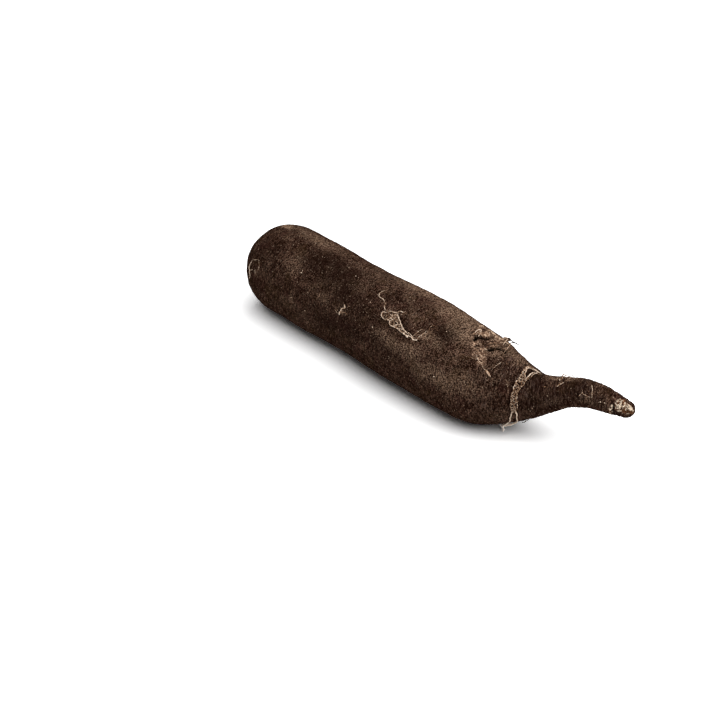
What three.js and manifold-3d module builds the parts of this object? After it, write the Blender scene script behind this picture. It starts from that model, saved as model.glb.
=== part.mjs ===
// A whole long black winter radish, lying on its side: the swollen taproot with its bent tail,
// and the dried rootlets and torn bark that still cling to its skin.
// Millimetres, +Z up. The crown points to -X and the tail to +X; the root rests on Z = 0.

import * as THREE from 'three';
import { mergeVertices } from 'three/addons/utils/BufferGeometryUtils.js';
import Module from 'manifold-3d';

const wasm = await Module();
wasm.setup();

// ---- Driving sizes ----------------------------------------------------------------------

// The middle line of the root from its crown end to the broken tip: x, y, z and radius.
const STATIONS = [
  [-115.5, -1.5, 28.4, 30.6], // crown end, where the dome closes
  [-80, -1.5, 29.9, 30.6], // full girth behind the crown
  [-45, -2, 29.9, 30.6],
  [-12, -0.8, 29.0, 29.7], // faint waist
  [25, -2, 30.1, 30.8], // belly
  [60, -2, 29.8, 30.5],
  [88, -2, 28.5, 29.2], // shoulder
  [107, -1, 28.3, 27.6],
  [118, 3, 27.6, 23.4], // neck taper
  [130, 8.5, 27.2, 17.6],
  [141, 13.3, 29.2, 12.6],
  [153, 18.7, 33.6, 9.3], // start of the tail
  [165, 23.4, 36.4, 8.2],
  [177, 27.2, 36.2, 6.9],
  [186, 31.0, 34.3, 5.5],
  [193.5, 35.8, 31.9, 4.6], // broken tip
];

const CROWN_LENGTH = 32; // the dome of the crown, along the root
const SCAR_RADIUS = 14; // disc where the leaves were cut away
const SCAR_DEPTH = 1.2; // how far its middle lies below its rim
const TIP_LENGTH = 4; // the rounded break at the end of the tail

// How far each way a cross-section looks for the root's direction, as a share of its radius.
const SECTION_REACH = 0.9;
const OVALNESS = 0.01; // the girth is a little oval, as a share of its radius
const OVAL_TURN = 0.018; // the oval slowly turns along the root, radians for each millimetre

const SEGMENTS = 40; // points round each ring
const DOME_RINGS = 9; // rings that round off the crown
const TIP_RINGS = 5; // rings that round off the tip
const BODY_STEP = 7; // spacing of the rings on the thick body
const TAIL_STEP = 3.6; // spacing of the rings on the neck and tail
const TAPER_START = 215; // distance from the crown end where the neck taper begins
const DISH_RINGS = [0.35, 0.75]; // rings inside the leaf scar, as shares of its radius
const TABLE_DEPTH = 20; // the block under Z = 0 that trims the underside

const SKIN_GAP = 0.35; // air between the skin and what clings to it
const ROOTLET_THICK = 0.9;
const ROOTLET_SIDES = 8; // points round a ribbon
const ROOTLET_STEP = 3; // spacing of its rings

// Routes over the skin: distance from the crown end, degrees from the top towards -Y, width.
const FLANK_ROUTE = [
  [137, 20, 1.2],
  [148, 32, 1.2],
  [155, 46, 3],
  [162, 47, 7],
  [171, 47, 5],
  [180, 49, 3],
  [188, 48, 2.4],
  [192, 40, 2],
  [192, 26, 1.4],
];
const NECK_ROUTE = [
  [258, -18, 3],
  [254, 12, 5],
  [250, 40, 4.5],
  [248.5, 70, 4],
  [248, 100, 4],
  [247, 130, 4.5],
  [245, 155, 3],
];
const BARK_ROUTE = [
  [207, 10, 4],
  [213, 5, 8],
  [221, -1, 8],
  [229, -8, 7],
  [234, -14, 3],
];

// ---- The root's own coordinates ---------------------------------------------------------

const spine = new THREE.CatmullRomCurve3(
  STATIONS.map(([x, y, z]) => new THREE.Vector3(x, y, z)),
  false,
  'centripetal',
);
spine.arcLengthDivisions = 1600;
const girth = new THREE.SplineCurve(
  STATIONS.map(([, , , radius], index) => new THREE.Vector2(index, radius)),
);
const LENGTH = spine.getLength();

function along(distance) {
  return spine.getUtoTmapping(0, THREE.MathUtils.clamp(distance, 0, LENGTH));
}

// A cross-section this far along the middle line from the crown end. It faces along a stretch as
// long as the root is thick, so that sections never fold into each other in a bend.
function section(distance) {
  const t = along(distance);
  const { y: radius } = girth.getPoint(t);
  const reach = SECTION_REACH * radius;
  const ahead = spine.getPoint(along(distance + reach));
  ahead.sub(spine.getPoint(along(distance - reach))).normalize();
  const side = new THREE.Vector3(0, 0, 1).cross(ahead).normalize();
  const up = ahead.clone().cross(side);
  return { centre: spine.getPoint(t), side, up, radius };
}

// Shrinks the girth to nothing over the dome of the crown and the round of the tip.
function closing(distance) {
  const crown = Math.max(0, 1 - distance / CROWN_LENGTH);
  const tip = Math.max(0, 1 - (LENGTH - distance) / TIP_LENGTH);
  return Math.sqrt(Math.max(0, 1 - crown * crown)) * Math.sqrt(Math.max(0, 1 - tip * tip));
}

// A point on or above the skin. The angle turns from the top towards -Y.
function skin(distance, angle, height = 0, radiusScale = closing(distance)) {
  const { centre, side, up, radius } = section(distance);
  const oval = 1 + OVALNESS * Math.cos(2 * angle - OVAL_TURN * distance);
  const reach = radius * oval * radiusScale + height;
  return centre
    .addScaledVector(up, reach * Math.cos(angle))
    .addScaledVector(side, -reach * Math.sin(angle));
}

// ---- Closed meshes ----------------------------------------------------------------------

// Joins rings of equal size into one closed body, with a point at each end.
function loft(rings, first, last) {
  const size = rings[0].length;
  const points = [first, ...rings.flat(), last];
  const end = points.length - 1;
  const faces = [];
  const corner = (ring, k) => 1 + ring * size + (k % size);
  for (let k = 0; k < size; k++) {
    faces.push(0, corner(0, k), corner(0, k + 1));
    faces.push(end, corner(rings.length - 1, k + 1), corner(rings.length - 1, k));
    for (let ring = 0; ring + 1 < rings.length; ring++) {
      const [a, b] = [corner(ring, k), corner(ring, k + 1)];
      const [c, d] = [corner(ring + 1, k), corner(ring + 1, k + 1)];
      faces.push(a, c, d, a, d, b);
    }
  }
  const geometry = new THREE.BufferGeometry();
  geometry.setFromPoints(points);
  geometry.setIndex(faces);
  return geometry;
}

function toSolid(geometry) {
  const bare = geometry.clone();
  bare.deleteAttribute('normal');
  bare.deleteAttribute('uv');
  const merged = mergeVertices(bare, 1e-4);
  return new wasm.Manifold(
    new wasm.Mesh({
      numProp: 3,
      vertProperties: new Float32Array(merged.attributes.position.array),
      triVerts: new Uint32Array(merged.index.array),
    }),
  );
}

function toGeometry(solid) {
  const { vertProperties, triVerts } = solid.getMesh();
  const geometry = new THREE.BufferGeometry();
  geometry.setAttribute('position', new THREE.BufferAttribute(vertProperties, 3));
  geometry.setIndex(new THREE.BufferAttribute(triVerts, 1));
  geometry.computeVertexNormals();
  return geometry;
}

// ---- The taproot ------------------------------------------------------------------------

// Distances of the rings: even steps on the body and tail, closing in on the two round ends.
function ringDistances() {
  const list = [];
  const scarAngle = Math.asin(SCAR_RADIUS / STATIONS[0][3]);
  for (let i = 0; i < DOME_RINGS; i++) {
    const turn = THREE.MathUtils.lerp(scarAngle, Math.PI / 2, i / DOME_RINGS);
    list.push(CROWN_LENGTH * (1 - Math.cos(turn)));
  }
  for (let d = CROWN_LENGTH; d < TAPER_START; d += BODY_STEP) list.push(d);
  const tipStart = LENGTH - TIP_LENGTH;
  for (let d = TAPER_START; d < tipStart - TAIL_STEP / 2; d += TAIL_STEP) list.push(d);
  for (let i = 0; i < TIP_RINGS; i++) {
    list.push(tipStart + TIP_LENGTH * Math.sin((Math.PI / 2) * (i / TIP_RINGS)));
  }
  return list;
}

const ringAngles = Array.from({ length: SEGMENTS }, (_, k) => (-2 * Math.PI * k) / SEGMENTS);

function taproot() {
  const distances = ringDistances();
  const rings = distances.map((d) => ringAngles.map((angle) => skin(d, angle)));
  // The scar is a shallow dish inside the first ring.
  const rim = distances[0];
  const dish = DISH_RINGS.map((share) => {
    const depth = rim + SCAR_DEPTH * (1 - share * share);
    return ringAngles.map((angle) => skin(depth, angle, 0, share * closing(rim)));
  });
  const dishMiddle = skin(rim + SCAR_DEPTH, 0, 0, 0);
  const tip = skin(LENGTH, 0, 0, 0);
  const whole = loft([...dish, ...rings], dishMiddle, tip);

  // The weight of the root has pressed a narrow flat along its underside.
  const table = new THREE.BoxGeometry(2 * LENGTH, LENGTH, TABLE_DEPTH);
  table.translate(0, 0, -TABLE_DEPTH / 2);
  return toGeometry(toSolid(whole).subtract(toSolid(table)));
}

// ---- What clings to the skin ------------------------------------------------------------

// A ribbon that hugs the skin along a route of [distance, degrees, width]. Its section is a
// flat oval, set across the route and bent to the round of the root.
function ribbon(route) {
  const knots = route.map(
    ([distance, degrees, width]) =>
      new THREE.Vector3(distance, THREE.MathUtils.degToRad(degrees), width),
  );
  const path = new THREE.CatmullRomCurve3(knots, false, 'centripetal');
  let run = 0;
  for (let i = 1; i < knots.length; i++) {
    run += skin(knots[i - 1].x, knots[i - 1].y).distanceTo(skin(knots[i].x, knots[i].y));
  }
  const steps = Math.ceil(run / ROOTLET_STEP);

  const rings = [];
  for (let i = 0; i <= steps; i++) {
    const { x: distance, y: angle, z: width } = path.getPoint(i / steps);
    const { radius } = section(distance);
    const ahead = path.getTangent(i / steps);
    const heading = new THREE.Vector2(ahead.x, ahead.y * radius).normalize();
    const ring = [];
    for (let k = 0; k < ROOTLET_SIDES; k++) {
      const turn = (2 * Math.PI * (k + 0.5)) / ROOTLET_SIDES;
      const across = (width / 2) * Math.cos(turn);
      const height = SKIN_GAP + (ROOTLET_THICK / 2) * (1 + Math.sin(turn));
      ring.push(
        skin(distance - heading.y * across, angle + (heading.x * across) / radius, height),
      );
    }
    rings.push(ring);
  }
  return loft(rings, centreOf(rings[0]), centreOf(rings[steps]));
}

function centreOf(ring) {
  const sum = new THREE.Vector3();
  ring.forEach((point) => sum.add(point));
  return sum.divideScalar(ring.length);
}

// ---- The part ---------------------------------------------------------------------------

function material(color, roughness) {
  return new THREE.MeshStandardMaterial({ color, roughness, metalness: 0 });
}
const blackSkin = material(0x2c1e16, 0.85);
const dryRootlet = material(0xa58a68, 0.9);
const tornBark = material(0x5c4430, 0.95);

const group = new THREE.Group();
const PIECES = [
  ['taproot', taproot(), blackSkin],
  ['flank_rootlets', ribbon(FLANK_ROUTE), dryRootlet],
  ['neck_rootlets', ribbon(NECK_ROUTE), dryRootlet],
  ['shoulder_bark', ribbon(BARK_ROUTE), tornBark],
];
for (const [name, geometry, finish] of PIECES) {
  const mesh = new THREE.Mesh(geometry, finish);
  mesh.name = name;
  group.add(mesh);
}

// The origin is the middle of the root's own box, on the table.
const box = new THREE.Box3().setFromObject(group);
const middle = box.getCenter(new THREE.Vector3());
group.position.set(-middle.x, -middle.y, 0);

export default group;
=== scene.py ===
"""A whole long black winter radish: the swollen taproot with its rough black skin, bent tail and
broken tip, and the dried rootlets and torn bark that cling to it. It lies on a white table."""

import math

import bpy
import numpy as np
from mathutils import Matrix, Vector
from mathutils.bvhtree import BVHTree


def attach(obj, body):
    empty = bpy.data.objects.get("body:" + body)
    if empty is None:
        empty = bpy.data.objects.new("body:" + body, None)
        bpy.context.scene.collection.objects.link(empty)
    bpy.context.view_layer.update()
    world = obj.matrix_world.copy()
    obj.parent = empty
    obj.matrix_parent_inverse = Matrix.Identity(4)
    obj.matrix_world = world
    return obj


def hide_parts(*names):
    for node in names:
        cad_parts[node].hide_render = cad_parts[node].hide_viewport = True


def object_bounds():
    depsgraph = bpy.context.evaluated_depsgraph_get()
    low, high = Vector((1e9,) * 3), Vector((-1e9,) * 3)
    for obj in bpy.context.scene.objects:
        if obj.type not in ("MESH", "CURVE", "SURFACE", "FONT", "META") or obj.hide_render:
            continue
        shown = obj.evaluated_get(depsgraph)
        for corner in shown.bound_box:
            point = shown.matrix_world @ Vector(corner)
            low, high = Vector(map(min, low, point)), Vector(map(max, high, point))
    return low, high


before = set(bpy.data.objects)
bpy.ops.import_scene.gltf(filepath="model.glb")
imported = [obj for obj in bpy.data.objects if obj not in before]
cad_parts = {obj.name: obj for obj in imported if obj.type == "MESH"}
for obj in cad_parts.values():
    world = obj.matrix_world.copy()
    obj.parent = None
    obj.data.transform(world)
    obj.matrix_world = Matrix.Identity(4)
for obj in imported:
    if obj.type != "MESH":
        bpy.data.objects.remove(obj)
CAD_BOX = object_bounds()

MM = 0.001
CAD_LOW, CAD_HIGH = (np.array(corner) / MM for corner in CAD_BOX)



def add_thing(name, data):
    thing = bpy.data.objects.new(name, data)
    bpy.context.scene.collection.objects.link(thing)
    return thing


def aim(thing, direction):
    thing.rotation_mode = "QUATERNION"
    thing.rotation_quaternion = direction.to_track_quat("-Z", "Y")


# -------- camera

LENS, SENSOR = 90, 36
AZIMUTH, ELEVATION = math.radians(49.7), math.radians(30)
CAMERA_DISTANCE = 1176.5 * MM
NEAR_CLIP, FAR_CLIP = 0.05, 20
# The point looked at, from the middle of the part's box, at table height.
AIM = Vector((-41, -14.5, 0)) * MM


def make_camera():
    camera = add_thing("camera", bpy.data.cameras.new("camera"))
    camera.data.lens, camera.data.sensor_width = LENS, SENSOR
    camera.data.clip_start, camera.data.clip_end = NEAR_CLIP, FAR_CLIP
    level = math.cos(ELEVATION)
    back = Vector((math.sin(AZIMUTH) * level, -math.cos(AZIMUTH) * level, math.sin(ELEVATION)))
    camera.location = AIM + back * CAMERA_DISTANCE
    aim(camera, -back)
    bpy.context.scene.camera = camera


# -------- noise

HASH_SIZE = 1 << 16
HASH = np.random.default_rng(7).random(HASH_SIZE)
# Large numbers that scatter neighbouring cells, and seeds, over the table of random values.
SCATTER, SEED_SCATTER = np.array([73856093, 19349663, 83492791]), 2654435


def noise(points, seed):
    """Smooth noise from -1 to 1, one wave to about two units."""
    cell = np.floor(points).astype(np.int64)
    part = points - cell
    part = part * part * part * (part * (part * 6 - 15) + 10)  # level at both ends of a cell
    total = np.zeros(points.shape[:-1])
    for corner in np.ndindex(2, 2, 2):
        at = (cell + corner) * SCATTER
        key = at[..., 0] ^ at[..., 1] ^ at[..., 2] ^ seed * SEED_SCATTER
        weight = np.prod(np.where(corner, part, 1 - part), axis=-1)
        total += weight * HASH[key & (HASH_SIZE - 1)]
    return 2 * total - 1


def layered(points, layers, seed):
    """Noise with finer and fainter layers on top."""
    total = 0
    for layer in range(layers):
        total = total + noise(points * 2**layer, seed + layer) / 2**layer
    return total


TINY = 1e-9  # keeps a vector without length from a division by nought


def unit(vectors, least=0):
    """The same directions with a length of 1."""
    return vectors / (np.linalg.norm(vectors, axis=-1)[..., None] + least)


def run_along(points):
    """The distance run so far at each point of a line."""
    return np.r_[0, np.cumsum(np.linalg.norm(np.diff(points, axis=0), axis=1))]


def smoothstep(low, high, value):
    share = np.clip((value - low) / (high - low), 0, 1)
    return share * share * (3 - 2 * share)


def blur(values, width, axis, wraps=False):
    """Gaussian blur along one axis of a grid, width in cells."""
    reach = int(3 * width) + 1
    steps = np.arange(-reach, reach + 1)
    weights = np.exp(-0.5 * (steps / width) ** 2)
    weights /= weights.sum()
    pads = [(0, 0)] * values.ndim
    pads[axis] = (reach, reach)
    padded = np.pad(values, pads, mode="wrap" if wraps else "edge")
    return np.apply_along_axis(lambda row: np.convolve(row, weights, "valid"), axis, padded)


# -------- the root's own coordinates

SEGMENTS = 160  # points round the root
RING_STEP = 0.56  # along the skin, in mm
CROWN_REACH = 28.5  # from the cut crown to the middle of its dome
TIP_REACH = 4.6  # from the end of the tail to the middle of its round
RAGGED = 0.2  # how far the rims of patches wander, as a share of their size
SLICE = 1.5  # spacing of the sections that find the middle line
RUN_ON = 20  # steps that the middle line is run on at each end
INSIDE = 30  # steps from an end of the middle line to a place well inside the root
TIP_AIM = -22  # the step of the middle line that a ray towards the tip passes
# Blurs that take the facets of the construction mesh away, in steps: of the middle line, round
# the root, along the body and along the slender tail, which starts this far from its end.
LINE_BLUR, ROUND_BLUR, BODY_BLUR, TAIL_BLUR = 2.0, 2.4, 6.0, 2.5
TAIL_REACH = (90, 60)


def mesh_arrays(thing):
    mesh = thing.data
    points = np.empty(len(mesh.vertices) * 3)
    mesh.vertices.foreach_get("co", points)
    mesh.calc_loop_triangles()
    faces = np.empty(len(mesh.loop_triangles) * 3, np.int32)
    mesh.loop_triangles.foreach_get("vertices", faces)
    return points.reshape(-1, 3) / MM, faces.reshape(-1, 3)


def middle_line(points, faces):
    """The centres of sections across X, run on straight at both ends, with their half heights."""
    edges = np.vstack([faces[:, [0, 1]], faces[:, [1, 2]], faces[:, [2, 0]]])
    starts, ends = points[edges[:, 0]], points[edges[:, 1]]
    stations = np.arange(CAD_LOW[0] + 2 * TIP_REACH, CAD_HIGH[0] - 1.5 * TIP_REACH, SLICE)
    centres, sizes = [], []
    for x in stations:
        cut = (starts[:, 0] - x) * (ends[:, 0] - x) < 0
        share = (x - starts[cut, 0]) / (ends[cut, 0] - starts[cut, 0])
        section = starts[cut] + share[:, None] * (ends[cut] - starts[cut])
        centres.append((section.min(0) + section.max(0)) / 2)
        sizes.append(np.ptp(section[:, 2]) / 2)
    line = blur(np.array(centres), LINE_BLUR, 0)
    line[:, 0] = stations
    steps = np.arange(1, RUN_ON + 1)[:, None]
    before = line[0] - steps[::-1] * (line[4] - line[0]) / 4
    after = line[-1] + steps * (line[-1] - line[-5]) / 4
    return np.vstack([before, line, after]), np.pad(sizes, RUN_ON, mode="edge")


class Root:
    """The smooth skin of the taproot as rings of points, and ways to find a place on it.

    A place is (distance, degrees): mm along the root from its cut crown, and degrees round it
    from the top towards -Y, the side that the camera sees."""

    def __init__(self):
        points, faces = mesh_arrays(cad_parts["taproot"])
        self.tree = BVHTree.FromPolygons(points.tolist(), faces.tolist())
        line, sizes = middle_line(points, faces)
        lengths = run_along(line)
        # Distances are counted from where the middle line meets the cut crown.
        crown = self.hit(line[INSIDE], line[0] - line[INSIDE])
        lengths -= np.interp(crown[0], line[:, 0], lengths)
        self.line, self.lengths, self.sizes = line, lengths, sizes
        tip = self.hit(line[-INSIDE], line[TIP_AIM] - line[-INSIDE])
        self.length = np.interp(tip[0], line[:, 0], lengths)
        self.make_rings()

    def hit(self, origin, direction):
        found = self.tree.ray_cast(Vector(origin), Vector(direction).normalized())[0]
        return np.array(found if found is not None else origin)

    def centre(self, distance):
        return np.array([np.interp(distance, self.lengths, self.line[:, k]) for k in range(3)])

    def axes(self, distance):
        """Directions ahead, to the side (+Y) and up at a place along the middle line."""
        reach = 0.9 * np.interp(distance, self.lengths, self.sizes)
        ahead = self.centre(distance + reach) - self.centre(distance - reach)
        ahead /= np.linalg.norm(ahead)
        side = np.cross([0, 0, 1], ahead)
        side /= np.linalg.norm(side)
        return ahead, side, np.cross(ahead, side)

    def make_rings(self):
        """Rays from the middle line to the skin: a fan at each round end and level rings between."""
        turns = np.arange(SEGMENTS) * 2 * math.pi / SEGMENTS
        quarter, tip_start = math.pi / 2, self.length - TIP_REACH
        crown_size, tip_size = np.interp([CROWN_REACH, tip_start], self.lengths, self.sizes)
        crown_rings = int(crown_size * quarter / RING_STEP)
        tip_rings = int(tip_size * quarter / RING_STEP) + 2
        # Each ring's place on the middle line, the way its rays lean, and their turn from that way.
        stations = [(CROWN_REACH, -1, (k + 0.5) / crown_rings * quarter) for k in range(crown_rings)]
        stations += [(distance, 1, quarter) for distance in np.arange(CROWN_REACH, tip_start, RING_STEP)]
        stations += [(tip_start, 1, (1 - (k + 0.5) / tip_rings) * quarter) for k in range(tip_rings)]

        origins, rays, reaches, distances = [], [], [], []
        for distance, way, lean in stations:
            ahead, side, up = self.axes(distance)
            out = np.cos(turns)[:, None] * up - np.sin(turns)[:, None] * side
            ray = out * math.sin(lean) + way * math.cos(lean) * ahead
            origin = self.centre(distance)
            reach = [np.linalg.norm(self.hit(origin, direction) - origin) for direction in ray]
            origins.append(origin)
            rays.append(ray)
            reaches.append(reach)
            distances.append(distance + way * math.cos(lean) * np.mean(reach))
        self.distances, self.rays, self.turns = np.array(distances), np.array(rays), turns
        reaches = blur(np.array(reaches), ROUND_BLUR, 1, wraps=True)
        share = smoothstep(*(self.length - np.array(TAIL_REACH)), self.distances)[:, None]
        reaches = blur(reaches, BODY_BLUR, 0) * (1 - share) + blur(reaches, TAIL_BLUR, 0) * share
        self.base = np.array(origins)[:, None] + self.rays * reaches[..., None]
        steps = np.linalg.norm(np.diff(self.base, axis=0), axis=2).mean(1)
        run = np.r_[0, np.cumsum(steps)]  # along the skin from the middle of the crown
        middles = self.base.mean(1)[:, None]
        self.girths = np.linalg.norm(self.base - middles, axis=2).mean(1)
        # The skin laid out along a straight root, so that a pattern can run in rings round it.
        level = np.stack([np.ones_like(turns), np.cos(turns), np.sin(turns)], 1)
        self.flow = level[None] * np.stack([run, self.girths, self.girths], 1)[:, None]
        self.points, self.normals = self.base, self.find_normals(self.base)

    def find_normals(self, grid):
        along = np.gradient(grid, axis=0)
        around = np.roll(grid, -1, axis=1) - np.roll(grid, 1, axis=1)
        normals = unit(np.cross(around, along), TINY)
        return normals * np.sign((normals * self.rays).sum(2))[..., None]

    def lookup(self, grid, distance, degrees):
        row = np.interp(distance, self.distances, np.arange(len(self.distances)))
        column = np.asarray(degrees) / 360 * SEGMENTS
        low_row = np.clip(np.floor(row).astype(int), 0, len(grid) - 2)
        low_column = np.floor(column).astype(int)
        a, b = (row - low_row)[..., None], (column - low_column)[..., None]
        left, right = low_column % SEGMENTS, (low_column + 1) % SEGMENTS
        near = grid[low_row, left] * (1 - b) + grid[low_row, right] * b
        far = grid[low_row + 1, left] * (1 - b) + grid[low_row + 1, right] * b
        return near * (1 - a) + far * a

    def place(self, distance, degrees, lift=0.0):
        """Points this far above the skin."""
        distance, degrees = np.asarray(distance, float), np.asarray(degrees, float)
        normals = unit(self.lookup(self.normals, distance, degrees))
        return self.lookup(self.points, distance, degrees) + normals * np.asarray(lift)[..., None]

    def radius(self, distance):
        """About how thick the root is at a distance, from its middle line to its skin."""
        return np.interp(distance, self.distances, self.girths)

    def near(self, route, reach=0.5):
        """Distance in mm from every point of the skin to a line of places."""
        line = rounded_route(self, route, reach)[0]
        nearest = np.full(self.base.shape[:2], 1e9)
        for spot in self.place(line[:, 0], line[:, 1]):
            nearest = np.minimum(nearest, ((self.base - spot) ** 2).sum(2))
        return np.sqrt(nearest)

    def patch(self, edge, distance, degrees, length, width, lean=0):
        """1 inside an oval of skin and 0 outside, by its middle, size in mm and lean in degrees.
        The edge says how soft its ragged rim is."""
        turned = (self.turns - math.radians(degrees) + math.pi) % (2 * math.pi) - math.pi
        across = turned[None, :] * self.girths[:, None]
        ahead = (self.distances - distance)[:, None] + 0 * across
        cos, sin = math.cos(math.radians(lean)), math.sin(math.radians(lean))
        far = np.hypot((ahead * cos + across * sin) / length, (across * cos - ahead * sin) / width)
        ragged = RAGGED * layered(self.flow / (0.2 * (length + width)), 3, int(distance))
        return smoothstep(1 + edge, 1 - edge, 2 * far * (1 + ragged))


def rounded_route(root, route, step):
    """Places along a rounded line through a few places, evenly spaced, with the mm run so far."""
    knots = np.array(route, float)
    padded = np.vstack([2 * knots[0] - knots[1], knots, 2 * knots[-1] - knots[-2]])
    share = np.linspace(0, 1, 12, endpoint=False)[:, None]
    bends = []
    for before, start, end, after in zip(padded, padded[1:], padded[2:], padded[3:]):
        linear = (end - before) * share
        square = (2 * before - 5 * start + 4 * end - after) * share**2
        cube = (3 * start - before - 3 * end + after) * share**3
        bends.append(start + 0.5 * (linear + square + cube))
    line = np.vstack(bends + [knots[-1:]])
    run = run_along(root.place(line[:, 0], line[:, 1]))
    even = np.linspace(0, run[-1], max(4, int(run[-1] / step) + 1))
    return np.stack([np.interp(even, run, line[:, 0]), np.interp(even, run, line[:, 1])], 1), even


# -------- the taproot

# Patches of skin by their tone: (distance, degrees, length, width, lean, strength).
DUSTY = [
    (22, -4, 18, 9, 0, 0.5),
    (51, -8, 44, 12, 0, 0.5),
    (57, 43, 16, 12, 0, 0.33),
    (58, 93, 10, 7, 0, 0.4),
    (64.5, 82, 4, 6, 0, 0.7),
    (92, 62, 10, 6, 0, 0.5),
    (78, 100, 22, 9, 0, 0.3),
    (112, 62, 10, 6, 0, 0.4),
    (148, -20, 44, 14, 0, 0.6),
    (163, 69, 32, 8, 8, 0.7),
    (180, 64, 22, 9, -10, 0.7),
    (187, -14, 46, 22, 0, 0.72),
    (187, 41, 18, 8, 0, 0.6),
    (191, 80, 16, 11, 0, 0.6),
    (200, 12, 20, 12, 0, 0.8),
    (205, 77, 24, 11, 20, 0.6),
    (218, 72, 20, 15, 0, 0.55),
    (212, -26, 34, 14, 0, 0.8),
    (224, 0, 14, 12, 0, 0.5),
    (236, -20, 26, 12, 0, 0.5),
    (240, 118, 22, 14, 0, 0.4),
    (270, -10, 18, 6, 0, 0.6),
    (266, 90, 12, 6, 0, 0.4),
    (290, 84, 18, 5, 0, 0.5),
]
DARK = [
    (30, 43, 24, 20, 0, 0.4),
    (84, 24, 46, 24, 0, 0.9),
    (104, 40, 24, 16, 0, 0.8),
    (104, 84, 40, 14, 0, 0.6),
    (127, 79, 30, 12, 0, 0.6),
    (118, 55, 60, 30, 0, 0.5),
    (144, 17, 16, 11, 0, 0.5),
    (156, 76, 26, 10, 0, 0.6),
    (157, 16, 16, 9, 0, 0.4),
    (193, 24, 16, 12, 0, 0.9),
    (229, 62, 20, 30, 0, 0.35),
    (233, 26, 14, 14, 0, 0.5),
    (253, 52, 13, 40, 0, 0.7),
    (262, 84, 22, 14, 0, 0.5),
    (283, 46, 18, 14, 0, 0.6),
    (294, 66, 10, 8, 0, 0.6),
]
PATCH_EDGE = 0.7  # how soft their edges are
# Faint dust and shade over the whole skin: strength, and cell in mm.
DUST_HAZE, DUST_CLOUD, DARK_HAZE, DARK_CLOUD = 0.17, 7, 0.2, 12
# The broken end of the tail and a nick below it, and how far their pith lies in, with its crumbs.
BROKEN_TIP, TIP_NICK = (309, 52, 10.4, 10.2), (303, 94, 2.4, 7)
PITH_DEPTH, CRUMB_HEIGHT = 0.8, 1.2
# Skin that is scraped or torn open: distance, degrees, length, width and lean.
TORN_SKIN = [(213, 14, 7, 5, 0), (218.5, 20, 8, 9, 0), (221, 28, 5, 6, 0), (208, -14, 13, 9, 20)]
TORN_SKIN += [(219, -10, 8, 9, 0), (22, -1, 8, 5, 0)]
# Deep cracks, under the torn bark and round the broken tip: route, width and depth in mm.
CREVICES = [
    ([(209, 8), (208.6, 2), (210.8, -1), (212.9, -4), (214, -9), (214, -13)], 1.2, 1.7),
    ([(303.4, 62), (303.9, 78), (304.4, 105), (305.8, 138)], 0.55, 0.8),
    ([(220.6, 9), (221.8, 5), (222.7, -1), (224.2, -6), (226.2, -9), (228, -9)], 1.15, 2.2),
]
SHADE_UNDER_ROOTLETS = 1.7  # how far the painted shade under the matted rootlets reaches, in mm
TUFT = [(109, 67), (112, 68), (112.5, 62), (115, 57)]  # a small tuft of rootlets on the flank
# Where the tail bends, the skin stands proud or lies lower: distance, degrees, length, width, mm.
TAIL_BENDS = [(295, -10, 26, 28, 0.8), (259, -8, 16, 26, -0.9)]
# The stub of the cut leaves on the crown: radius and height in mm, and how far its scars reach.
STUB_SIZE, STUB_HEIGHT, SCAR_REACH = 4.6, 3.0, 11.0
FAR_OFF = 99  # mm, for places away from the crown
NORMAL_BLUR = 2.0  # steps, for the directions in which rootlets and bark stand off
# Where the root changes, as distances from none of a thing to all of it.
CROWN_SMOOTH, WRINKLES_START, NECK_WRINKLES = (60, 30), (190, 215), (222, 236)
NECK_START, NECK_END, TAIL_START, TAIL_SMOOTH = (214, 234), (268, 256), (254, 268), (240, 256)
# Relief of the skin: its cell in mm along the root and round it, whether it is a furrow, and its
# height in mm on the body, with what the neck and the tail add.
RELIEF = [
    ((13, 13, 13), False, 0.32, 0, 0),  # broad lumps
    ((5, 5, 5), False, 0.16, 0, 0),  # knobs
    ((1.1, 6, 6), True, 0.22, 0.24, 0.14),  # furrows round the root
    ((0.8, 3.2, 3.2), True, 0.132, 0.144, 0.084),  # shorter furrows between them
    ((0.75, 0.9, 0.9), False, 0.09, 0, 0),  # grain
    ((1.7, 7, 7), False, 0, 0.08, 0.22),  # folds
]
SWELL, TAIL_SWELL = 0.25, 0.05  # lifts the skin, so that the furrows leave its size as it is


def with_patches(root, mark, rows):
    for *place, strength in rows:
        mark = np.maximum(mark, strength * root.patch(PATCH_EDGE, *place))
    return mark


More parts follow.
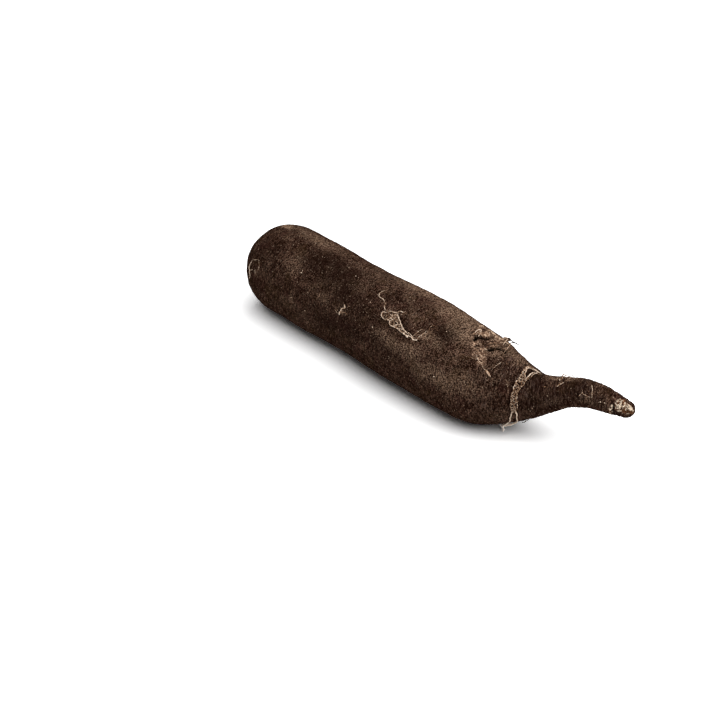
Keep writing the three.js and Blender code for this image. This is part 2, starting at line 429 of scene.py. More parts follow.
def skin_marks(root):
    """Marks from 0 to 1: dust with painted top light, painted shade below, dark patches, wrinkles, cracks in
    painted shade, torn skin, open pith, scars, and painted shade under rootlets.
    """
    distance, upward = root.distances[:, None], root.normals[..., 2]
    dust_and_top_light = DUST_HAZE * smoothstep(-0.2, 0.9, layered(root.flow / DUST_CLOUD, 2, 20))
    dark = DARK_HAZE * smoothstep(0.1, 0.9, layered(root.flow / DARK_CLOUD, 2, 40))
    dust_and_top_light, dark = with_patches(root, dust_and_top_light, DUSTY), with_patches(root, dark, DARK)
    # Partly real dust, and partly painted top light: the dust is weighted towards skin that faces up.
    dust_and_top_light = dust_and_top_light * (0.45 + 0.55 * smoothstep(-0.3, 0.6, upward))
    # Painted shade: darker where the skin faces down, by its normal.
    painted_shade_below = smoothstep(0.5, -0.4, upward + 0.2 * noise(root.flow / 15, 22))
    wrinkled = 0.25 + 0.25 * smoothstep(*WRINKLES_START, distance)
    wrinkled = wrinkled + 0.5 * smoothstep(*NECK_WRINKLES, distance)
    wrinkled = wrinkled * (0.75 + 0.25 * noise(root.flow / 8, 21))
    # Painted shade: the cracks are coloured near-black, as shade in their depth.
    painted_crack_shade = np.zeros_like(dust_and_top_light)
    for route, width, _ in CREVICES:
        painted_crack_shade = np.maximum(painted_crack_shade, smoothstep(1.4 * width, 0.6 * width, root.near(route)))
    torn = np.zeros_like(dust_and_top_light)
    for place in TORN_SKIN:
        torn = np.maximum(torn, root.patch(0.5, *place))
    torn *= 0.45 + 0.55 * smoothstep(-0.3, 0.2, noise(root.flow / 1.3, 23))
    pith = np.maximum(root.patch(0.12, *BROKEN_TIP), root.patch(0.3, *TIP_NICK))
    side = smoothstep(317, 304, distance + 0.12 * (np.degrees(root.turns)[None] - 58))
    crumb = pith * smoothstep(0.0, 0.25, layered(root.base / 0.8, 2, 70) + 0.8 * side - 0.58)
    # Painted shade: the skin darkens round the wisp, the neck band and the tuft, as shade under the
    # rootlets.
    under = np.zeros_like(dust_and_top_light)
    for left, right in ((WISP_LEFT, WISP_RIGHT), (BAND_LEFT, BAND_RIGHT), (TUFT, TUFT)):
        for level in (0.0, 0.35, 0.65, 1.0):
            gap = root.near(between(left, right, np.linspace(0, 1, 13), level), 1.0)
            under = np.maximum(under, np.exp(-((gap / SHADE_UNDER_ROOTLETS) ** 2)))
    gap = crown_gap(root)
    rough = 0.6 + 0.4 * smoothstep(-0.3, 0.5, layered(root.flow / 9, 2, 50))
    ends = smoothstep(*TAIL_SMOOTH, distance) + smoothstep(*CROWN_SMOOTH, distance)
    rough *= 1 - 0.6 * dark - 0.3 * ends
    marks = {"dust_and_top_light": dust_and_top_light, "painted_shade_below": painted_shade_below, "dark": dark, "wrinkled": wrinkled, "painted_crack_shade": painted_crack_shade}
    marks |= {"torn": torn, "pith": pith, "crumb": crumb, "rough": rough, "under": under}
    scarred, stub = smoothstep(SCAR_REACH, STUB_SIZE, gap), smoothstep(STUB_SIZE, 0.7 * STUB_SIZE, gap)
    return marks | {"scarred": scarred, "stub": stub, "cut": smoothstep(0.75, 0.5, gap / STUB_SIZE)}


def crown_gap(root):
    """Mm from the middle of the crown, and far off for the rest of the root."""
    gap = np.hypot(root.flow[..., 1], root.flow[..., 2]) + 0.5 * noise(root.flow / 2.5, 12)
    return np.where(root.distances[:, None] < CROWN_REACH, gap, FAR_OFF)


def skin_relief(root, marks):
    """How far the skin stands proud of the smooth root, in mm."""
    flow, distance = root.flow, root.distances[:, None]
    neck = smoothstep(*NECK_START, distance) * smoothstep(*NECK_END, distance)
    tail = smoothstep(*TAIL_START, distance)
    relief = SWELL + TAIL_SWELL * tail + np.zeros(flow.shape[:2])
    for seed, (cell, furrow, height, at_neck, at_tail) in enumerate(RELIEF, 1):
        wave = noise(flow / cell, seed)
        relief += (height + at_neck * neck + at_tail * tail) * (-np.abs(wave) if furrow else wave)
    for *place, height in TAIL_BENDS:
        relief += height * root.patch(0.8, *place)
    relief += marks["torn"] * (-0.1 + 0.25 * noise(flow / [1.5, 0.9, 0.9], 7))
    relief += marks["pith"] * (0.25 * noise(root.base / 0.6, 9) - PITH_DEPTH)
    relief += marks["crumb"] * CRUMB_HEIGHT
    relief += marks["scarred"] * 0.4 * np.sin(2.2 * crown_gap(root)) + STUB_HEIGHT * marks["stub"]
    relief += marks["cut"] * (0.5 * noise(flow / 1.0, 10) - 0.6)
    for route, width, depth in CREVICES:
        relief -= depth * np.exp(-((root.near(route) / width) ** 2))
    return relief


def make_taproot(root):
    marks = skin_marks(root)
    points = root.base + root.normals * skin_relief(root, marks)[..., None]
    points[..., 2] = np.maximum(points[..., 2], 0.0)
    root.points = points
    normals = blur(root.find_normals(points), NORMAL_BLUR, 0)
    root.normals = unit(blur(normals, NORMAL_BLUR, 1, wraps=True))
    layers = {"flow": np.vstack([root.flow.reshape(-1, 3), [[0, 0, 0], [root.flow[..., 0].max(), 0, 0]]])}
    for name, mark in marks.items():
        layers[name] = np.r_[mark.ravel(), mark[0].mean(), mark[-1].mean()]
    vertices = np.vstack([points.reshape(-1, 3), points[0].mean(0), points[-1].mean(0)])
    return add_mesh("taproot_skin", vertices, tube_faces(len(points), SEGMENTS, 0), layers)


def tube_faces(rings, sides, start):
    """Faces of a closed tube: its rings of points come first, and then one point for each end."""
    near = start + np.arange(rings * sides).reshape(rings, sides)
    far = np.roll(near, -1, axis=1)
    faces = np.stack([near[:-1], far[:-1], far[1:], near[1:]], -1).reshape(-1, 4).tolist()
    end = start + rings * sides
    faces += [[end, b, a] for a, b in zip(near[0].tolist(), far[0].tolist())]
    return faces + [[end + 1, a, b] for a, b in zip(near[-1].tolist(), far[-1].tolist())]


def add_mesh(name, points, faces, layers):
    """A smooth mesh from points in mm, with layers of a number or a vector for each of them."""
    mesh = bpy.data.meshes.new(name)
    mesh.from_pydata((points * MM).tolist(), [], faces)
    for label, values in layers.items():
        kind, entry = ("FLOAT", "value") if values.ndim == 1 else ("FLOAT_VECTOR", "vector")
        layer = mesh.attributes.new(label, kind, "POINT")
        layer.data.foreach_set(entry, values.astype(np.float32).ravel())
    mesh.shade_smooth()
    mesh.validate()
    return add_thing(name, mesh)


# -------- rootlets, fibres and torn bark


def waver(run, wave, seed):
    """A smooth wander from -1 to 1 along a line, by the mm run so far."""
    spots = np.stack([2 * np.asarray(run) / wave, np.full(len(run), seed * 3.7), np.zeros(len(run))], 1)
    return noise(spots, seed)


def between(left, right, shares, levels):
    """Places part of the way along two edges, and part of the way across from left to right."""
    sides = []
    for edge in (np.array(left, float), np.array(right, float)):
        knots = np.linspace(0, 1, len(edge))
        spots = [np.interp(shares, knots, edge[:, 0]), np.interp(shares, knots, edge[:, 1])]
        sides.append(np.stack(spots, -1))
    levels = np.asarray(levels)[..., None]
    return sides[0] * (1 - levels) + sides[1] * levels


SWING = 0.22  # how far woven threads swing across their band, as a share of its width
HAIR_BEND = 0.5  # mm that a hair wanders on its way
TABLE_GAP = 0.02  # mm between a strand and the table
SHOULDER = 25  # radius of the root at the shoulder, in mm


def step_over(ahead, around):
    """A step over the shoulder, by so many mm towards the tail and so many round the root."""
    return np.array([ahead, math.degrees(around / SHOULDER)])


class Gathering:
    """Many small shapes on the root gathered into one mesh, with a tone for every point."""

    def __init__(self, root, seed):
        self.root, self.seed = root, seed
        self.random = np.random.default_rng(seed)
        self.points, self.faces, self.tones, self.count = [], [], [], 0

    def gather(self, points, faces, tones):
        self.points.append(points)
        self.faces += faces
        self.tones.append(tones)
        self.count += len(points)

    def build(self, name, label):
        return add_mesh(name, np.vstack(self.points), self.faces, {label: np.concatenate(self.tones)})


class Tangle(Gathering):
    """Rootlets and fibres as tubes, each with its own tint from 0, dark, to 1, pale."""

    SIDES = 6
    SAMPLE = 0.45  # mm between the rings of a strand

    def tube(self, line, normals, wide, thick, tint):
        ahead = unit(np.gradient(line, axis=0), TINY)
        across = unit(np.cross(normals, ahead), TINY)
        over = np.cross(ahead, across)
        turns = np.arange(self.SIDES) * 2 * math.pi / self.SIDES
        ring = np.cos(turns)[None, :, None] * (across * wide[:, None])[:, None]
        ring = ring + np.sin(turns)[None, :, None] * (over * thick[:, None])[:, None]
        points = np.vstack([(line[:, None] + ring).reshape(-1, 3), line[:1], line[-1:]])
        points[:, 2] = np.maximum(points[:, 2], TABLE_GAP)
        # Painted shade: paler on top and darker on the sides and below, where shade falls on a strand.
        shaded = tint[:, None] + 0.6 * np.sin(turns)[None] - 0.35
        tones = np.r_[shaded.ravel(), tint[0] - 0.3, tint[-1] - 0.3]
        self.gather(points, tube_faces(len(line), self.SIDES, self.count), tones)

    def free_tube(self, line, size, tint):
        """A round tube that stands off the skin."""
        level = np.cross(line[-1] - line[0], [0.3, 0.2, 1.0])
        self.tube(line, np.repeat(level[None], len(line), 0), size, size, tint)

    def strand(self, route, width, tint=0.6, lift=0.25, wander=0.3, ends=0.35):
        """A rootlet that lies on the skin, a little flattened. Width, lift and wander are in mm."""
        self.seed += 1
        seed, root = self.seed, self.root
        places, run = rounded_route(root, route, self.SAMPLE)
        girth = np.maximum(root.radius(places[:, 0]), 3)
        fade = np.minimum(1, np.minimum(run, run[-1] - run) / 3)
        distance = places[:, 0] + wander * fade * waver(run, 3.6, seed)
        degrees = places[:, 1] + np.degrees(wander * fade * waver(run, 4.2, seed + 200) / girth)
        share = run / run[-1]
        size = width / 2 * (1 + 0.4 * waver(run, 2.2, seed + 400))
        size *= ends + (1 - ends) * smoothstep(0, 0.15, share) * smoothstep(1, 0.75, share)
        height = 0.45 * size + lift * (0.5 + 0.5 * waver(run, 4, seed + 600))
        normals = root.lookup(root.normals, distance, degrees)
        tints = tint + 0.3 * waver(run, 3, seed + 800)
        self.tube(root.place(distance, degrees, height), normals, size, 0.75 * size, tints)

    def hair(self, start, end, rise, width, tint):
        """A hair that springs from the skin at one place, rises, and ends over another."""
        self.seed += 1
        share = np.linspace(0, 1, 14)
        places = np.array(start) + share[:, None] * (np.array(end, float) - start)
        places[:, 0] += HAIR_BEND * share * waver(share * 10, 7, self.seed)
        sway = HAIR_BEND * share * waver(share * 10, 8, self.seed + 200)
        places[:, 1] += np.degrees(sway / self.root.radius(start[0]))
        line = self.root.place(places[:, 0], places[:, 1], -0.15 + rise * np.sin(share * 1.9) / 0.95)
        self.free_tube(line, width / 2 * (1 - 0.65 * share), tint + 0 * share)

    def curl(self, places, width, tint):
        """A stiff strand through free places: (distance, degrees, height above the skin in mm)."""
        line = self.root.place(*np.array(places, float).T)
        for _ in range(3):
            near, far = line[:-1], line[1:]
            inner = np.stack([0.75 * near + 0.25 * far, 0.25 * near + 0.75 * far], 1).reshape(-1, 3)
            line = np.vstack([line[:1], inner, line[-1:]])
        run = np.arange(len(line)) * 0.3
        share = np.linspace(0, 1, len(line))
        size = width / 2 * (1 + 0.3 * waver(run, 2.0, self.seed)) * (1 - 0.6 * (2 * share - 1) ** 4)
        self.free_tube(line, size, tint + 0.2 * waver(run, 1.5, 9))

    def weave(self, left, right, threads, width, tints):
        """Threads that run along a band side by side, and wander enough to cross each other."""
        length, draw = rounded_route(self.root, left, 0.5)[1][-1], self.random.uniform
        shares = np.linspace(0, 1, max(5, int(length / 1.3)))
        for k in range(threads):
            middle = (k + 0.5) / threads if threads > 1 else 0
            levels = middle + SWING * self.random.normal(0, 1, len(shares))
            size, tint, lift = width * draw(0.7, 1.2), draw(*tints), draw(0.2, 0.8)
            places = between(left, right, shares, np.clip(levels, -0.1, 1.1))
            self.strand(places, size, tint, lift, wander=0.1)

    def cross(self, left, right, count, width):
        """Short strands that cross a band from one edge to the other."""
        draw = self.random.uniform
        for k in range(count):
            start = (k + draw(0, 1)) / count
            slant = draw(-1, 1) * 2.0 / count
            shares = np.clip([start, start + slant / 2, start + slant], 0, 1)
            levels = np.array([-0.05, 0.5, 1.05]) + draw(-0.2, 0.2, 3)
            size, tint, lift = width * draw(0.6, 1.1), draw(0.0, 1.0), draw(0.0, 0.5)
            self.strand(between(left, right, shares, levels), size, tint, lift, wander=0.2)

    def fringe(self, edge, count, length, way):
        """Short loose ends that leave an edge, towards the tail (way 1) or the crown (way -1)."""
        draw = self.random.uniform
        for _ in range(count):
            start = between(edge, edge, draw(0, 1), 0)
            out = draw(0.4, 1.0) * length
            turn = np.degrees(draw(-0.8, 0.8) * length / self.root.radius(start[0]))
            rise, tint = draw(0.2, 0.9), draw(0.1, 0.8)
            self.hair(start, (start[0] + way * out, start[1] + turn), rise, 0.3, tint)

    def fray(self, count, middle, spread, lean):
        """Short fibres on torn bark, some lying and some standing."""
        random, draw = self.random, self.random.uniform
        for _ in range(count):
            start = random.normal(middle, spread)
            turn, length = random.normal(lean, 0.9), draw(1.0, 3.0)
            end = start + length * step_over(math.cos(turn), math.sin(turn))
            width, tint = draw(0.14, 0.3), draw(0.0, 0.8)
            if random.random() < 0.6:
                bend = (start + end) / 2 + random.normal(0, 0.3, 2)
                self.strand([start, bend, end], width, tint, lift=0.4)
            else:
                self.hair(start, end, draw(0.4, 1.6), width, tint)


# Strands of the wisp on the flank: width, tint and route, as places (distance, degrees).
WISP_LEFT = [(148, 47), (150.8, 48), (153, 46), (156.3, 50), (162.2, 50), (167.5, 51), (170.3, 51)]
WISP_RIGHT = [(155.3, 33), (156.3, 36), (159, 39), (162.4, 43), (165.8, 46), (169.1, 48), (172.1, 49)]
WISP_STRANDS = [
    (0.45, 1.0, [(134, 16), (133, 19), (133.4, 24), (135.2, 27), (139.3, 28), (142.6, 31)]),
    (0.5, 0.9, [(142, 30), (143.4, 32), (144.1, 35), (146.8, 38)]),
    (0.55, 0.8, [(147.2, 39), (149.3, 37), (151.3, 36), (154, 35), (155.3, 33), (155.6, 31), (157.1, 30)]),
    (0.6, 0.9, [(147.2, 39), (145.8, 42), (146.4, 45), (148, 47), (150.8, 48)]),
    (0.45, 0.5, [(148, 38), (146.4, 41), (147.2, 44), (149.3, 47)]),
    (0.6, 0.8, WISP_LEFT),
    (0.5, 0.5, [(152, 47), (155.2, 47), (159.6, 49), (164.6, 50), (169, 50)]),
    (0.6, 1.0, WISP_RIGHT),
    (0.3, 0.4, [(150.2, 38), (151.1, 43), (154, 44), (158.6, 46), (163, 49)]),
    (0.35, 0.6, [(151.9, 36), (154, 41), (157.7, 42), (161.4, 45), (164.6, 46)]),
    (0.3, 0.5, [(154.3, 35), (155.2, 39), (158.6, 41), (161.2, 43)]),
    (0.3, 0.3, [(147, 42), (151.2, 41), (153.7, 39), (156.1, 36)]),
    (0.5, 0.9, [(155.6, 31), (157, 30), (158.1, 30), (158.7, 27)]),
    (0.35, 0.6, [(157, 35), (158.7, 32), (158.5, 30), (160.7, 29)]),
    (0.8, 0.9, [(167.5, 51), (170.3, 51), (172.1, 52)]),
    (0.7, 1.0, [(171, 51), (173.8, 50), (176.6, 51), (179.2, 50)]),
    (0.5, 0.8, [(178.2, 51), (179.6, 48), (179.4, 45), (180.6, 40), (181.5, 34)]),
    (0.5, 0.8, [(170.3, 47), (173, 48), (175.3, 49), (178, 49)]),
    (0.4, 0.7, [(175.3, 49), (176, 44), (176.7, 39), (178.5, 35)]),
    (0.35, 0.5, [(179.5, 49), (180.5, 45), (181.5, 39), (184, 35)]),
    (0.3, 0.3, [(180.5, 33), (183, 35), (181.5, 29), (182, 25), (186, 23)]),
    (0.25, 0.3, [(181, 36), (185, 31), (184, 26), (188, 27)]),
    (0.25, 0.2, [(183, 33), (187, 36), (189, 33)]),
    (0.3, 0.3, [(171.4, 42), (171.7, 37), (172, 34)]),
    (0.4, 0.8, [(146.7, 41.5), (149, 39.5), (151, 39.5), (153.5, 39.5)]),
    (0.4, 0.7, [(151.3, 39.5), (152.7, 42), (152.8, 45), (151, 46.5), (149.5, 48.5)]),
    (0.35, 0.7, [(150.5, 47.5), (153, 45), (155, 43.5), (157, 44.5)]),
    (0.3, 0.5, [(152, 40), (154.5, 41.5), (157, 39)]),
    (0.2, 0.0, [(136, 25), (138, 19), (140, 13), (141.5, 6), (146.5, 0), (147, -6)]),
]


def make_flank_rootlets(root):
    """A wisp of dried rootlets on the flank: a thread, a small net, and a tail that forks."""
    wisp = Tangle(root, 11)
    for width, tint, route in WISP_STRANDS:
        wisp.strand(route, width, tint, lift=0.5)
    wisp.weave(WISP_LEFT[1:], WISP_RIGHT, 3, 0.4, (0.2, 0.8))
    wisp.cross(WISP_LEFT[1:], WISP_RIGHT, 22, 0.38)
    wisp.cross([(147, 44), (150, 47), (153, 46)], [(149, 38), (152, 36), (155, 35)], 8, 0.35)
    wisp.strand([(171.4, 51.5), (172.6, 52.3)], 1.2, 1.4, lift=0.6, wander=0)
    wisp.strand([(178.6, 50.5), (179.4, 49.2)], 1.0, 1.4, lift=0.5, wander=0)
    wisp.fringe(WISP_LEFT, 16, 1.2, -1)
    return wisp.build("flank_rootlets_dry", "tint")


# The band round the neck: its two edges, the hole near the top, and the two legs below.
BAND_LEFT = [(254, -26), (250, -24), (247.5, -21), (245, -15), (244, -3), (244, 10), (243.5, 23)]
BAND_LEFT += [(242.2, 35), (241.6, 49), (241.5, 65), (241.6, 80), (241.8, 97), (241.9, 108)]
BAND_RIGHT = [(257, -24), (255.5, -18), (254, -13), (252, -5), (250.5, 6), (249, 14), (248, 21)]
BAND_RIGHT += [(246.2, 37), (244.7, 50), (244.2, 65), (244.4, 80), (244.5, 97), (244.2, 108)]
HOLE_LEFT = [(250, -18), (247.5, -17), (246, -10), (246, 0), (246.3, 8), (247, 16)]
HOLE_RIGHT = [(252, -14), (250.8, -8), (250, -2), (249.2, 6), (248, 14), (247, 18)]
LEFT_LEG = [(242.6, 100), (241.4, 115), (240.8, 125), (240.2, 135), (239.4, 144), (237, 153), (235, 158)]
RIGHT_LEG = [(243.6, 100), (244.2, 117), (243.9, 128), (243.4, 140), (242.8, 150)]
# Strands that leave the band below, and twigs beside it: width, tint and free places.
NECK_CURLS = [
    # Tints above 1 reach the near-white step: painted light, so these strands keep pale in the root's
    # shadow.
    (1.0, 2.4, [(243, 150, 0.1), (241.7, 157, 0.7), (239.5, 160, 1.2), (238, 160, 1.3), (235.5, 160, 1.6)]),
    (0.9, 2.4, [(242.5, 152, 0.3), (240.5, 160, 0.4), (238, 161, 0.7), (234.5, 161, 1.0)]),
    (0.9, 2.4, [(239, 146, 0.2), (237, 155, 0.7), (235, 160, 1.5), (235, 160, 3.2), (234.8, 160, 5.0)]),
    (0.7, 2.2, [(233.5, 160, 0.4), (234.3, 160, 1.8), (235.3, 160, 3.4), (235.8, 160, 4.2)]),
    (0.6, -0.3, [(244.5, 158, 0.6), (245.5, 160, 1.5), (246, 160, 0.7), (247, 160, 0.9), (248, 160, 0.3)]),
]


def make_neck_rootlets(root):
    """A net of rootlets round the neck, with a hole at the top and two legs below."""
    band = Tangle(root, 5)
    for edge in (BAND_LEFT, BAND_RIGHT):
        band.strand(edge, 0.5, 0.6, lift=0.6, wander=0.45)
    band.strand(HOLE_LEFT, 0.6, 0.9, lift=0.6)
    band.strand(HOLE_RIGHT, 0.7, 1.1, lift=0.8, wander=0.1)
    band.weave(BAND_LEFT[:3], BAND_RIGHT[:3], 3, 0.5, (0.5, 1.0))
    band.weave(BAND_LEFT[1:7], HOLE_LEFT, 3, 0.45, (0.5, 1.0))
    band.weave(HOLE_RIGHT, BAND_RIGHT[2:7], 1, 0.45, (0.2, 0.9))
    band.weave(BAND_LEFT[5:], BAND_RIGHT[5:], 4, 0.4, (0.2, 0.8))
    band.cross(BAND_LEFT[5:], BAND_RIGHT[5:], 28, 0.32)
    band.cross(BAND_LEFT[:6], [(252, -16)] + HOLE_LEFT[1:], 8, 0.35)
    for leg in (LEFT_LEG, RIGHT_LEG):
        for width, lift, wander in ((0.6, 0.2, 0.16), (0.45, 0.4, 0.4)):
            band.strand(leg, width, band.random.uniform(0.8, 1.2), lift, wander)
    for width, tint, places in NECK_CURLS:
        band.curl(places, width, tint)
    for edge, way in ((BAND_LEFT, -1), (BAND_RIGHT, 1), (LEFT_LEG, -1)):
        band.fringe(edge, 9, 1.1, way)
    return band.build("neck_rootlets_dry", "tint")


class Bark(Gathering):
    """Torn flaps of bark, with a tone of 0 where it is skin and 1 where it is torn and pale."""

    ROWS = 16  # from the hinge of a flap to its lip
    SAMPLE = 0.3  # mm along its lip

    def flap(self, hinge, lip, rise, pale, lumps=0.4, thick=0.5):
        """A flap that is fast along its hinge and lifted along its ragged lip, by so many mm."""
        self.seed += 1
        root, seed = self.root, self.seed
        edge, run = rounded_route(root, lip, self.SAMPLE)
        share = run / run[-1]
        fixed = rounded_route(root, hinge, self.SAMPLE)[0]
        fixed = fixed[np.round(share * (len(fixed) - 1)).astype(int)]
        level = np.linspace(0, 1, self.ROWS)[:, None]
        reach = level * (1 + (0.15 * waver(run, 3, seed) + 0.08 * waver(run, 1.2, seed + 200)) * level)
        distance = fixed[:, 0] + (edge[:, 0] - fixed[:, 0]) * reach
        degrees = fixed[:, 1] + (edge[:, 1] - fixed[:, 1]) * reach
        ends = np.clip(4 * share * (1 - share), 0, 1) ** 0.5
        spots = root.place(distance, degrees, 0)
        bumps, ridges = noise(spots / 1.3, seed), noise(spots / [0.7, 0.7, 2.5], seed + 1)
        height = rise * ends * (level**0.8 - 0.5 * smoothstep(0.8, 1.0, level)) - 0.3 * (1 - level) ** 4
        height = height + lumps * (bumps + 0.4 * ridges) * smoothstep(0.0, 0.4, level)
        top = root.place(distance, degrees, height)
        under = root.place(distance, degrees, height - thick * (1 - 0.45 * level))
        tone = pale[0] + (pale[1] - pale[0]) * level**3 + 0.5 * bumps + 0.3 * ridges
        self.add_sheet(np.stack([top, under]), [tone, tone * 0 + 0.1])

    def add_sheet(self, grid, tones):
        """Joins an upper and an under sheet of points along their rims."""
        sheets = self.count + np.arange(grid.size // 3).reshape(grid.shape[:3])
        faces, rims = [], []
        for way, sheet in zip((1, -1), sheets):
            corners = [sheet[:-1, :-1], sheet[1:, :-1], sheet[1:, 1:], sheet[:-1, 1:]]
            faces += np.stack(corners[::way], -1).reshape(-1, 4).tolist()
            rims.append(np.r_[sheet[0], sheet[1:, -1], sheet[-1, -2::-1], sheet[-2:0:-1, 0]])
        upper, under = rims
        faces += np.stack([upper, np.roll(upper, -1), np.roll(under, -1), under], -1).tolist()
        self.gather(grid.reshape(-1, 3), faces, np.clip(tones, 0, 1).ravel())

    def chips(self, middle, spread, count):
        """Small loose scales round a place."""
        random, draw = self.random, self.random.uniform
        for _ in range(count):
            place = random.normal(middle, spread)
            long, deep = draw(1.2, 3.2), draw(0.8, 2.2)
            turn = math.radians(random.normal(40, 35))
            cos, sin = math.cos(turn), math.sin(turn)
            along, out = step_over(-sin, cos) * long / 2, step_over(cos, sin) * deep
            hinge = [place - along, place, place + along]
            lip = [place - 0.8 * along + out, place + 1.1 * out, place + 0.8 * along + out]
            tone, rise = draw(0.1, 1.0), draw(0.3, 1.2)
            self.flap(hinge, lip, rise, (tone / 2, tone), 0.2, 0.3)


# Torn bark on the shoulder: the line it hangs from, its lip, how high that stands, and its tones.
FLAPS = [
    ([(202.5, 3), (201, -8), (201, -17), (203, -26)],
     [(206.5, 4), (207.6, 1), (209.8, -3), (212, -7), (212.5, -14)], 1.5, (0.25, 0.55)),
    ([(198.5, -20), (200.5, -30)], [(200.5, -18), (203, -27)], 0.7, (0.6, 1.0)),
    ([(203, -31), (208, -30), (216, -28), (220, -32)],
     [(204.5, -24), (209, -22), (216, -17), (221.5, -23)], 1.0, (0.5, 0.9)),
    ([(216, 9), (216, -1), (217, -11), (219, -19)],
     [(219.4, 10), (219.6, 2), (220.5, -5), (222.5, -10), (224.4, -12.5)], 1.3, (0.1, 0.5)),
    ([(216, -22), (219, -27), (220, -36)], [(220.5, -17), (223.4, -22), (224.5, -32)], 1.2, (0.2, 0.9)),
    ([(212, -44), (215, -40), (217, -34)], [(217, -46), (220, -42), (221, -34)], 2.4, (0.1, 0.5)),
]
# Loose scales: middle, spread and how many.
CHIPS = [((210, -14), (3, 6), 4), ((220, -14), (2.5, 5), 4)]
CHIPS += [((217, 14), (2.5, 4), 3), ((204, -22), (4, 5), 3)]


def make_shoulder_bark(root):
    """Loose bark on the shoulder, torn and lifted where it faces the tail."""
    bark = Bark(root, 40)
    for hinge, lip, rise, pale in FLAPS:
        bark.flap(hinge, lip, rise, pale)
    for middle, spread, count in CHIPS:
        bark.chips(middle, spread, count)
    return bark.build("shoulder_bark_torn", "pale")


# Loose threads that lie on the skin: width, tint and route.
LOOSE_THREADS = [
    (0.35, 0.9, [(217.5, 26), (219.7, 30), (222.2, 33), (224.1, 36), (226.3, 39)]),
    # A near-black strand beside the knob: a painted shadow, not a thread.
    (0.9, -1.0, [(227.2, 37), (229.2, 39.5), (231, 42)]),
    (0.25, 0.1, [(215.5, 78), (216, 68), (218.3, 61), (221.4, 64), (222.1, 74), (220.3, 84)]),
    (0.3, 0.8, [(228.7, 31), (229.5, 24), (230.2, 18), (230.8, 12)]),
    (0.3, -0.1, [(233.3, 12), (233.6, 5), (234.4, -3)]),
    (0.3, -0.1, [(230.5, 14), (231, 8), (232, 2)]),
    (0.25, 0.4, [(210, 36), (213.3, 35), (217.3, 33), (218.7, 30)]),
    (0.22, 0.55, [(236.7, 36), (238, 42), (239, 52), (239.8, 64)]),
    (0.45, 0.5, [(259.5, 30), (261.4, 31), (263.3, 33)]),
    (0.6, 1.1, [(18.6, 65), (17.4, 69), (16.6, 75), (17.6, 79), (17.8, 83), (19, 87), (17, 93)]),
    (0.35, 1.0, [(17.8, 79), (20, 78), (22, 76)]),
    (0.32, 0.7, [(19.2, 64), (22.8, 62), (25.7, 60.2)]),
    (0.3, 0.7, [(25.7, 60.2), (27.7, 65.7), (28.8, 72)]),
    (0.35, 0.7, [(24.7, 74), (26.1, 79)]),
    (0.35, 0.8, [(64.6, 49), (66.2, 47), (65.4, 42)]),
    (1.05, 1.1, [(112, 70), (112.2, 65), (112.3, 61)]),
    (1.0, 0.8, [(113.2, 56), (114.6, 58.4), (114.6, 61)]),
    (0.5, 0.5, [(112.4, 62), (113.2, 60), (114.5, 60)]),
    (0.4, 0.7, [(110.8, 61), (112.2, 64), (114, 67)]),
    (0.35, 0.5, [(111, 66), (113.4, 61.5), (115.4, 58)]),
    (0.4, 0.4, [(105.8, 67), (108, 68), (109.8, 70.5)]),
    (0.3, 0.2, [(107, 65), (109.4, 66.5), (111.2, 68)]),
    (0.35, 0.3, [(114, 65), (117, 64), (120, 66)]),
    (0.45, 0.6, [(117.2, 55), (118.4, 54.6)]),
    (0.45, 0.85, [(288.2, 13), (289.4, 28), (290.2, 45), (290.9, 64)]),
    (0.4, 0.7, [(290.9, 64), (288.1, 64), (285.7, 61), (284.6, 54), (284.7, 44)]),
    (0.45, 0.4, [(282.6, 74), (283.9, 64), (284.5, 57)]),
    (0.3, 0.2, [(287, 39), (289.4, 53)]),
    (0.3, 0.0, [(282, 11), (282.9, 2), (284.6, 2), (285.9, 11)]),
]
